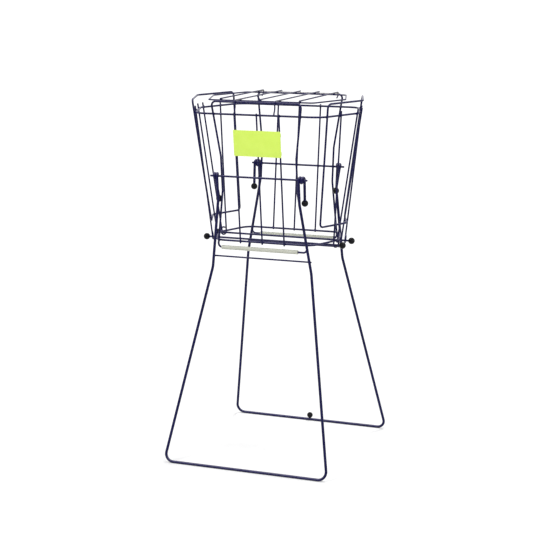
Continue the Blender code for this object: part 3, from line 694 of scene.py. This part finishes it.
coil = coiledEye()
footY = -legs["footSpread"] / 2
legCorners = [Vector((0.0, footY, legs["wire"] / 2)),
              Vector((legs["footWidth"] / 2, footY, legs["wire"] / 2)),
              legLine(kneeZ, legs["kneeWidth"] / 2), legLine(lockZ, legTopX), coil[0]]
legHalf = bentPath(legCorners, [0.0, legs["footBend"], legs["kneeBend"], legs["upperBend"], 0.0])
lockSeat = knobSeat(lockKnob, coil[-1] - lockKnob)
legPath = bothHalves(legHalf[1:] + coil[1:] + [lockSeat])
rodEnd = Vector((coil[-1].x + legs["wire"] / 2 + legs["rodOverhang"], pivotPlace.y, pivotZ))
crossbarX = legTopX + (legs["kneeWidth"] / 2 - legTopX) * (lockZ - crossbarZ) / (lockZ - kneeZ)
crossbarEnd = legLine(crossbarZ, crossbarX + legs["crossbarOverhang"])
crossbarEnd.y += (legs["wire"] / 2 + gap + legs["crossbarWire"] / 2) / wallCos
for name, flip in bothEnds:
    body = name + "_leg"
    coilSpots = flip([pivotPlace + xAxis * side * (legTopX + legs["coilRubOut"])
                      for side in (-1, 1)])
    footSpots = flip([Vector((step * legs["footRubEvery"], footY, -legs["footRubBelow"]))
                      for step in range(-legs["footRubs"], legs["footRubs"] + 1)])
    sweepWire(name + "LegFrame", flip(legPath), legs["wire"], body, name + "_leg_frame",
              rubs={"coil": coilSpots, "foot": footSpots})
    sweepWire(name + "PivotRod", flip(bothHalves([rodEnd])), basket["pivotWire"], "basket",
              name + "_pivot_rod", rubs={"axle": coilSpots})
    sweepWire(name + "Crossbar", flip(bothHalves([crossbarEnd])), legs["crossbarWire"], body,
              name + "_leg_crossbar")
print("leg frames made")


# knobs

def joinRows(grid, rows, ring=False, caps=False):
    # faces between neighbouring outlines; an outline of one point is a pole
    pairs = list(zip(rows, rows[1:])) + ([(rows[-1], rows[0])] if ring else [])
    for first, second in pairs:
        count = max(len(first), len(second))
        for step in range(count):
            after = (step + 1) % count
            corners = []
            for vertex in (first[step % len(first)], first[after % len(first)],
                           second[after % len(second)], second[step % len(second)]):
                if vertex not in corners:
                    corners.append(vertex)
            grid.faces.new(corners)
    if caps:
        grid.faces.new(rows[0])
        grid.faces.new(rows[-1])


def pieceFrom(grid, name, finish, kind):
    bmesh.ops.recalc_face_normals(grid, faces=grid.faces)
    mesh = bpy.data.meshes.new(name)
    grid.to_mesh(mesh)
    grid.free()
    mesh.shade_smooth()
    mesh.set_sharp_from_angle(angle=math.radians(crease[kind]))
    mesh.materials.append(finish)
    return bpy.data.objects.new(name, mesh)


def lathe(name, profile, start, direction, steps, finish, seam=0.0, ring=False):
    # a turned or moulded body; a seam raises a thin parting line on two sides
    direction = direction.normalized()
    upright = abs(direction.z) > 0.9
    across = direction.cross(xAxis if upright else zAxis).normalized()
    upward = direction.cross(across)
    spokes = [(2 * math.pi * step / steps, 0.0) for step in range(steps)]
    if seam:
        spokes = [(angle, 0.0) for angle, rise in spokes
                  if min(angle % math.pi, math.pi - angle % math.pi) > knobs["seamClear"]]
        for half in (0, math.pi):
            for shift, rise in ((-knobs["seamFoot"], 0.0), (-knobs["seamTop"], seam),
                                (knobs["seamTop"], seam), (knobs["seamFoot"], 0.0)):
                spokes.append(((half + shift) % (2 * math.pi), rise))
        spokes.sort()
    grid = bmesh.new()
    rows = []
    for along, out in profile:
        middle = start + direction * along
        if out == 0.0:
            rows.append([grid.verts.new(middle)])
            continue
        rows.append([grid.verts.new(middle + (across * math.cos(angle) + upward * math.sin(angle))
                                    * (out + rise)) for angle, rise in spokes])
    joinRows(grid, rows, ring)
    return pieceFrom(grid, name, finish, "turned")


def ballKnob(name, centre, toward, bore, body, node, diameter=knobs["diameter"]):
    # a moulded ball with a rounded mouth where the wire goes in
    radius = diameter / 2
    hole = bore / 2 + gap / 2
    lip = knobs["mouthRound"]
    first = math.asin((hole + lip) / radius)
    edge = radius * math.cos(first) - lip
    profile = [(radius - knobs["bore"], 0.0), (radius - knobs["bore"], hole)]
    for step in range(knobs["mouthSteps"] + 1):
        angle = math.pi / 2 * step / knobs["mouthSteps"]
        profile.append((edge + lip * math.sin(angle) * knobs["mouthDepth"],
                        hole + lip - lip * math.cos(angle)))
    for step in range(1, knobs["rings"]):
        angle = first + (math.pi - first) * step / knobs["rings"]
        profile.append((radius * math.cos(angle), radius * math.sin(angle)))
    profile.append((-radius, 0.0))
    knob = lathe(name, profile, centre, toward, knobs["steps"], blackPlastic, knobs["seamRise"])
    finishPiece(knob, body, node)


def gripStud(foot):
    # a headless stud with a small weld at its foot
    radius = knobs["studDiameter"] / 2
    length = knobs["bore"] - 2 * gap
    chamfer = knobs["studChamfer"]
    profile = [(-knobs["weldSink"], 0.0), (-knobs["weldSink"], radius + knobs["weldFlare"]),
               (0.0, radius + knobs["weldShoulder"]), (knobs["weldRise"], radius),
               (length - chamfer, radius), (length, radius - chamfer), (length, 0.0)]
    stud = lathe("gripStud", profile, foot, zAxis, knobs["studSteps"], coat)
    finishPiece(stud, "rear_leg", "grip_stud")


for name, flip in bothEnds:
    for side, turn in bothSides:
        centre, toward = flip(turn([lockKnob, coil[-1] - lockKnob]))
        ballKnob(f"{name}LockKnob_{side}", centre, toward, legs["wire"], name + "_leg",
                 f"{name}_lock_knob_{side}")
studFoot = Vector((0.0, -footY, legs["wire"] + gap))
ballKnob("gripKnob", studFoot + zAxis * knobs["gripDiameter"] / 2, -zAxis,
         knobs["studDiameter"], "rear_leg", "grip_knob", knobs["gripDiameter"])
gripStud(studFoot)
print("knobs made")


# floor rods and roller sleeves

rollers = {"rodLength": 0.347, "sleeveDiameter": 0.0100, "sleeveLength": 0.192,
           "chamfer": 0.0005, "steps": 48}


def rollerSleeve(name, sign):
    # a tube pushed to one end of its loop's bottom bar
    inner = loopWire / 2 + run
    outer = rollers["sleeveDiameter"] / 2
    low = loops["bottomBend"] - loops["bottom"] / 2 + run
    high = low + rollers["sleeveLength"]
    cut = rollers["chamfer"]
    profile = [(low, inner), (low, outer - cut), (low + cut, outer), (high - cut, outer),
               (high, outer - cut), (high, inner)]
    sleeve = lathe(name + "Sleeve", profile, Vector((0, sign * sleeveBarY, loopLowZ)),
                   -sign * xAxis, rollers["steps"], greyVinyl, ring=True)
    finishPiece(sleeve, name + "_roller", name + "_sleeve")


for name, sign in (("front", -1), ("rear", 1)):
    middle = Vector((0, sign * eyes["rodSpacing"] / 2, floorRodZ))
    knobX = xAxis * rollers["rodLength"] / 2
    for side, way in (("left", -1), ("right", 1)):
        ballKnob(f"{name}RodKnob_{side}", middle + way * knobX, -way * xAxis,
                 eyes["rodWire"], name + "_rod", f"{name}_floor_rod_knob_{side}")
    sweepWire(name + "FloorRod", bothHalves([knobSeat(middle + knobX, -xAxis)]),
              eyes["rodWire"], name + "_rod", name + "_floor_rod",
              rubs={"rod": [middle + way * xAxis * eyeSeat.x for way in (-1, 1)]})
    rollerSleeve(name, sign)
print("rollers made")


# lid

lid = {"frameWire": 0.0036, "barWire": 0.0034, "front": 0.258, "width": 0.334, "depth": 0.232,
       "bend": 0.012, "barStub": 0.0055, "rearOverhang": 0.0045, "hingeTail": 0.010,
       "hingeWrap": 150, "latchReach": 0.0064, "latchPinch": 0.0047, "latchPinchDrop": 0.012,
       "latchFlare": 0.0125, "latchDrop": 0.0275, "latchBend": 0.0050, "tabReach": 0.0160,
       "tabRise": 0.0115, "tabBend": 0.0060}
lidBarZ = loopTopZ + loopWire / 2 + run + lid["barWire"] / 2
lidFrameZ = lidBarZ - lid["barWire"] / 2 - gap - lid["frameWire"] / 2


def hingeBar(x):
    # hooks round the rear loop's top bar
    radius = lidBarZ - loopTopZ
    wrap = math.radians(lid["hingeWrap"])
    steps = math.ceil(coilSteps * wrap / (2 * math.pi))
    points = [Vector((x, -lid["depth"] / 2 - lid["barStub"], lidBarZ))]
    for step in range(steps + 1):
        angle = wrap * step / steps
        points.append(Vector((x, loopBarY + radius * math.sin(angle),
                              loopTopZ + radius * math.cos(angle))))
    points.append(points[-1] + Vector((0.0, math.cos(wrap), -math.sin(wrap))) * lid["hingeTail"])
    return points


def latchBar(x):
    # snaps over the front loop's top bar and flares below it
    corners = [Vector((x, loopBarY + lid["rearOverhang"], lidBarZ)),
               Vector((x, -loopBarY - lid["latchReach"], lidBarZ)),
               Vector((x, -loopBarY - lid["latchPinch"], loopTopZ - lid["latchPinchDrop"])),
               Vector((x, -loopBarY - lid["latchFlare"], loopTopZ - lid["latchDrop"]))]
    return bentPath(corners, [0.0, lid["latchBend"], lid["latchPinchDrop"], 0.0])


def tabBar():
    # turned up in front as a finger tab
    front = -lid["depth"] / 2 - lid["barStub"] / 2
    corners = [Vector((0.0, loopBarY + lid["rearOverhang"], lidBarZ)),
               Vector((0.0, front, lidBarZ)),
               Vector((0.0, front - lid["tabReach"], lidBarZ + lid["tabRise"]))]
    return bentPath(corners, [0.0, lid["tabBend"], 0.0])


lidCorners = ringCorners(lid["front"], lid["width"], lid["depth"], lidFrameZ)
sweepWire("lidFrame", bentPath(lidCorners, [lid["bend"]] * 6, True), lid["frameWire"], "lid",
          "lid_frame", closed=True)
for kind, side, path, column, spots in (("Hinge", "left", hingeBar, -2, hookSpots),
                                        ("Latch", "left", latchBar, -1, latchSpots),
                                        ("Latch", "right", latchBar, 1, latchSpots),
                                        ("Hinge", "right", hingeBar, 2, hookSpots)):
    sweepWire(f"lid{kind}Bar_{side}", path(column * lidBarSpacing), lid["barWire"], "lid",
              f"lid_{kind.lower()}_bar_{side}", rubs={"lidBar": spots})
sweepWire("lidTabBar", tabBar(), lid["barWire"], "lid", "lid_tab_bar",
          rubs={"tab": [tabBar()[-1]]})
print("lid made")


# welds

welds = {"Bead Radius": 0.0031, "Flatness": 0.42, "Smallest": 0.88, "Largest": 1.12,
         "Lump": 0.0009, "Lump Size": 0.0016, "Seed": 7}
spacing = basket["uprightSpacing"]
for z in (baseZ, rimZ):
    loopX = hourglassX(z)
    for flip in (list, toRear):
        for x, out in ((-loopX, loopOut), (loopX, loopOut), (-spacing, uprightOut),
                       (0.0, uprightOut), (spacing, uprightOut)):
            weld("basket", flip([frontPoint(x, z, 0), frontPoint(x, z, out)]), xAxis)
    crossed = [basket["pointUprightY"]]
    if z == rimZ:
        crossed.append(basket["sideUprightY"])
    for y in crossed:
        for flip in (list, toRear):
            for turn in (list, toLeft):
                weld("basket", flip(turn([sidePoint(-y, z, 0), sidePoint(-y, z, uprightSeat)])))
for flip in (list, toRear):
    for turn in (list, toLeft):
        weld("basket", flip(turn([sidePoint(-loops["sideYTop"], rimZ, out, True)
                                  for out in (0, loopSeat)])))
    for x, out in ((-waistX, loopOut), (-spacing, uprightOut), (0.0, uprightOut),
                   (spacing, uprightOut), (waistX, loopOut)):
        weld("basket", flip([frontPoint(x, pivotZ, out), frontPoint(x, pivotZ, pivotOut)]), xAxis)
for column in range(-2, 3):
    for sign in (-1, 1):
        weld("lid", [Vector((column * lidBarSpacing, sign * lid["depth"] / 2, z))
                     for z in (lidFrameZ, lidBarZ)], xAxis)
for end, flip in bothEnds:
    for turn in (list, toLeft):
        crossing = [legLine(crossbarZ, crossbarX), Vector((crossbarX, crossbarEnd.y, crossbarZ))]
        weld(end + "_leg", flip(turn(crossing)), xAxis, legs["weldShare"])

for body, spots in weldSpots.items():
    if not spots:
        continue
    name = "welds_" + body
    mesh = bpy.data.meshes.new(name)
    mesh.from_pydata([spot for spot, rotation in spots], [], [])
    turns = mesh.attributes.new("beadTurn", "FLOAT_VECTOR", "POINT")
    for value, (spot, rotation) in zip(turns.data, spots):
        value.vector = rotation
    beads = applyTree(bpy.data.objects.new(name, mesh), weldTree, welds | {"Finish": coat})
    finishPiece(beads, body)
print("welds made:", {body: len(spots) for body, spots in weldSpots.items() if spots})


# plate on the front uprights

plate = {"height": 0.061, "thickness": 0.0015, "corner": 0.0020, "cornerSteps": 8,
         "drop": 0.0650, "border": 0.0004, "edge": 0.00035, "edgeEase": 0.3,
         "clipWidth": 0.0060, "clipHeight": 0.0080, "clipInset": 0.0090, "clipWall": 0.0010,
         "clipOpening": 120, "clipSteps": 22, "clipEase": 0.92, "clipTaper": 0.0075,
         "ribWidth": 0.00372, "ribHeight": 0.0072, "ribInset": 0.0001}
backY = -(uprightWire / 2 + 2 * gap)
plateWidth = 2 * spacing + plate["clipWidth"] + 2 * plate["border"]


def roundedOutline(width, height, corner):
    points = []
    for quarter, (sx, sz) in enumerate(((1, 1), (-1, 1), (-1, -1), (1, -1))):
        centre = Vector((sx * (width / 2 - corner), 0, sz * (height / 2 - corner)))
        for step in range(plate["cornerSteps"] + 1):
            angle = math.pi / 2 * (quarter + step / plate["cornerSteps"])
            points.append(centre + Vector((math.cos(angle), 0, math.sin(angle))) * corner)
    return points


def addSheet(grid):
    # a rounded plate whose edges are eased, built as stacked outlines
    thick = plate["thickness"]
    edge = plate["edge"]
    ease = edge * plate["edgeEase"]
    rows = []
    for inset, depth in ((edge, 0.0), (ease, ease), (0.0, edge), (0.0, thick - edge),
                         (ease, thick - ease), (edge, thick)):
        outline = roundedOutline(plateWidth - 2 * inset, plate["height"] - 2 * inset,
                                 plate["corner"] - inset)
        rows.append([grid.verts.new(point + Vector((0, backY - depth, 0)))
                     for point in outline])
    joinRows(grid, rows, caps=True)


def addClip(grid, x, z):
    # a C-shaped jaw round the upright, and the rib that joins it to the plate's back
    inner = uprightWire / 2 + gap / 2
    outer = inner + plate["clipWall"]
    half = math.radians(180 - plate["clipOpening"] / 2)
    angles = [half * (2 * step / plate["clipSteps"] - 1) - math.pi / 2
              for step in range(plate["clipSteps"] + 1)]
    section = [(math.cos(angle) * outer, math.sin(angle) * outer) for angle in angles]
    section += [(math.cos(angle) * inner, math.sin(angle) * inner) for angle in angles[::-1]]
    rows = []
    for share, size in ((-1, 1 - plate["clipTaper"]), (-plate["clipEase"], 1),
                        (plate["clipEase"], 1), (1, 1 - plate["clipTaper"])):
        rows.append([grid.verts.new(Vector((x + across * size, deep * size,
                                            z + share * plate["clipHeight"] / 2)))
                     for across, deep in section])
    joinRows(grid, rows, caps=True)
    rib = bmesh.ops.create_cube(grid, size=1.0)["verts"]
    depth = -backY - inner - plate["ribInset"]
    bmesh.ops.scale(grid, vec=(plate["ribWidth"], depth, plate["ribHeight"]), verts=rib)
    bmesh.ops.translate(grid, vec=(x, backY + depth / 2, z), verts=rib)


grid = bmesh.new()
addSheet(grid)
for column in (-1, 0, 1):
    for row in (-1, 1):
        addClip(grid, column * spacing, row * (plate["height"] / 2 - plate["clipInset"]))
place = Matrix.Translation(frontPoint(0.0, rimZ - plate["drop"], uprightOut))
grid.transform(place @ Matrix.Rotation(math.atan(wallSlope), 4, "X"))
signPlate = pieceFrom(grid, "signPlate", limePlastic, "plate")
finishPiece(signPlate, "basket", "sign_plate")
print("plate made")


# floor, light and camera

studio = {"floorRadius": 60.0, "floorSides": 96, "floor": "F4F4F4", "floorRough": 0.9,
          "floorLift": 0.14, "world": 0.50,
          "suns": {"keyLight": ((-0.45, -0.75, 0.95), 16, 0.95),
                   "fillLight": ((0.80, -0.50, 0.50), 34, 0.52),
                   "topLight": ((0.10, 0.25, 1.00), 10, 1.0)}}


def seenDirectly(tree):
    # 1 for what the camera sees, in a mirror and through glass too
    rays = addNode(tree, "ShaderNodeLightPath").outputs
    seen = rays["Is Camera Ray"]
    for name in ("Is Glossy Ray", "Is Transmission Ray"):
        seen = addNode(tree, "ShaderNodeMath", {0: seen, 1: rays[name]}, operation="MAXIMUM")
    return seen


def makeFloor():
    # matt white paper, lifted to white for the camera
    grid = bmesh.new()
    bmesh.ops.create_circle(grid, cap_ends=True, segments=studio["floorSides"],
                            radius=studio["floorRadius"])
    mesh = bpy.data.meshes.new("studioFloor")
    grid.to_mesh(mesh)
    grid.free()
    material = bpy.data.materials.new("paperFloor")
    material.use_nodes = True
    tree = material.node_tree
    paper = tree.nodes["Principled BSDF"]
    setInputs(tree, paper, {"Base Color": toLinear(studio["floor"]),
                            "Roughness": studio["floorRough"], "Specular IOR Level": 0.0})
    lift = addNode(tree, "ShaderNodeMath", {0: seenDirectly(tree), 1: studio["floorLift"]},
                   operation="MULTIPLY")
    glow = addNode(tree, "ShaderNodeEmission", {"Strength": lift})
    both = addNode(tree, "ShaderNodeAddShader", {0: paper, 1: glow})
    setInputs(tree, tree.nodes["Material Output"], {"Surface": both})
    mesh.materials.append(material)
    floor = bpy.data.objects.new("studioFloor", mesh)
    root.objects.link(floor)


def makeWorld():
    # an even soft light, and plain white where it is seen
    world = bpy.context.scene.world or bpy.data.worlds.new("studio")
    bpy.context.scene.world = world
    world.use_nodes = True
    tree = world.node_tree
    soft = tree.nodes["Background"]
    setInputs(tree, soft, {"Color": (1, 1, 1, 1), "Strength": studio["world"]})
    white = addNode(tree, "ShaderNodeBackground", {"Color": (1, 1, 1, 1), "Strength": 1.0})
    mix = addNode(tree, "ShaderNodeMixShader", {0: seenDirectly(tree), 1: soft, 2: white})
    setInputs(tree, tree.nodes["World Output"], {"Surface": mix})


makeFloor()
makeWorld()
for name, (comingFrom, spreadDegrees, strength) in studio["suns"].items():
    sun = bpy.data.lights.new(name, "SUN")      # a wide sun is an even, far-off softbox
    sun.angle = math.radians(spreadDegrees)
    sun.energy = strength
    lamp = bpy.data.objects.new(name, sun)
    lamp.rotation_euler = Vector(comingFrom).to_track_quat("Z", "Y").to_euler()
    root.objects.link(lamp)

camera = {"focalPixels": 1543.49, "imagePixels": 560, "sensor": 36.0,
          "place": (1.3287, -3.402, 1.1674), "pitch": 11.6351, "yaw": 21.2818}
view = bpy.data.cameras.new("photoView")
view.sensor_width = camera["sensor"]
view.lens = camera["focalPixels"] / camera["imagePixels"] * camera["sensor"]
viewer = bpy.data.objects.new("photoView", view)
viewer.location = camera["place"]
viewer.rotation_euler = (math.radians(90 - camera["pitch"]), 0, math.radians(camera["yaw"]))
root.objects.link(viewer)
bpy.context.scene.camera = viewer
bpy.context.scene.view_settings.view_transform = "Standard"
print("studio made")
